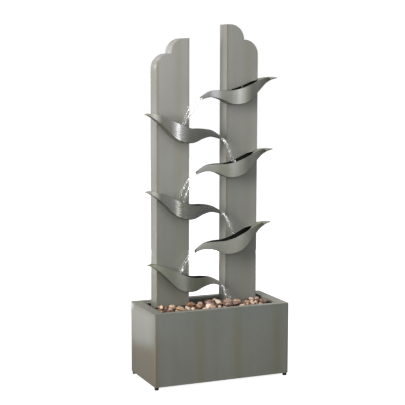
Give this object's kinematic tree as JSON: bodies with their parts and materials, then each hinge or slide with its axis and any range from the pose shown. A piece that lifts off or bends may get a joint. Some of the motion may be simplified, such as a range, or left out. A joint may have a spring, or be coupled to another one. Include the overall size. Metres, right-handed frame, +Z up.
{
  "type": "floor water fountain",
  "caption": "Free-standing cascade fountain: two stepped-top hollow towers behind a rectangular tub, with curved spill leaves passing water from side to side over a pebble bed.",
  "frame": {"origin": "on the floor under the middle of the tub", "axes": "+Z up along the towers, -Y towards the front where the leaves are, +X to the right seen from the front"},
  "size_m": [0.508, 0.243, 1.2435],
  "materials": {
    "pewter_steel": "mottled grey-green pewter patina under a satin lacquer",
    "brushed_leaf": "pewter finish with fine brush lines along the leaf, satin",
    "dark_steel": "dark powder coat",
    "zinc_steel": "zinc plated",
    "black_rubber": "matt",
    "black_plastic": "fine matt moulding",
    "red_plastic": "glossy",
    "magnet_plastic": "glossy",
    "white_ceramic": "ground smooth",
    "hose_vinyl": "smooth black vinyl",
    "cream_stone": "tumbled and polished, wet",
    "rose_stone": "tumbled and polished, wet",
    "brown_stone": "tumbled and polished, wet"
  },
  "bodies": {
    "root": {"tub_shell": "pewter_steel", "tub_base": "pewter_steel", "tub_rim": "pewter_steel", "rubber_feet": "black_rubber", "foot_screws": "zinc_steel", "foot_nuts": "zinc_steel", "cord_grommet": "black_rubber", "left_tower_shell": "pewter_steel", "right_tower_shell": "pewter_steel", "left_back_panel": "pewter_steel", "right_back_panel": "pewter_steel", "left_panel_screws": "zinc_steel", "right_panel_screws": "zinc_steel", "tower_brackets": "zinc_steel", "bracket_bolts": "zinc_steel", "bracket_nuts": "zinc_steel", "bracket_side_screws": "zinc_steel", "right_leaf_1": "brushed_leaf", "left_leaf_1": "brushed_leaf", "right_leaf_2": "brushed_leaf", "left_leaf_2": "brushed_leaf", "right_leaf_3": "brushed_leaf", "left_leaf_3": "brushed_leaf", "left_leaf_studs": "zinc_steel", "right_leaf_studs": "zinc_steel", "left_leaf_nuts": "zinc_steel", "right_leaf_nuts": "zinc_steel", "tray_trestles": "dark_steel", "suction_cups": "black_rubber", "pump_housing": "black_plastic", "pump_gland": "black_plastic", "rotor_shaft": "white_ceramic", "volute_cover": "black_plastic", "pump_hose": "hose_vinyl", "tower_grommet": "black_rubber", "lower_elbow": "black_plastic", "riser_hose": "hose_vinyl", "outlet_elbow": "black_plastic", "outlet_nut": "black_plastic", "hose_clamps": "zinc_steel", "hose_clips": "black_plastic"},
    "tray": {"pebble_tray": "dark_steel", "cream_pebbles": "cream_stone", "rose_pebbles": "rose_stone", "brown_pebbles": "brown_stone"},
    "impeller": {"impeller": "magnet_plastic"},
    "intake_grille": {"intake_grille": "black_plastic"},
    "flow_dial": {"flow_dial": "red_plastic"}
  },
  "joints": [
    {"name": "tray_lift", "type": "slide", "parent": "root", "child": "tray", "axis": [0, 0, 1], "range_m": [0, 0.025]},
    {"name": "impeller_spin", "type": "hinge", "parent": "root", "child": "impeller", "pos_m": [0.1179, -0.0405, 0.0406], "axis": [1, 0, 0], "continuous": true},
    {"name": "grille_slide", "type": "slide", "parent": "root", "child": "intake_grille", "axis": [-1, 0, 0], "range_m": [0, 0.025]},
    {"name": "dial_turn", "type": "hinge", "parent": "intake_grille", "child": "flow_dial", "pos_m": [0.0906, -0.0405, 0.0406], "axis": [1, 0, 0], "range_deg": [0, 90]}
  ]
}
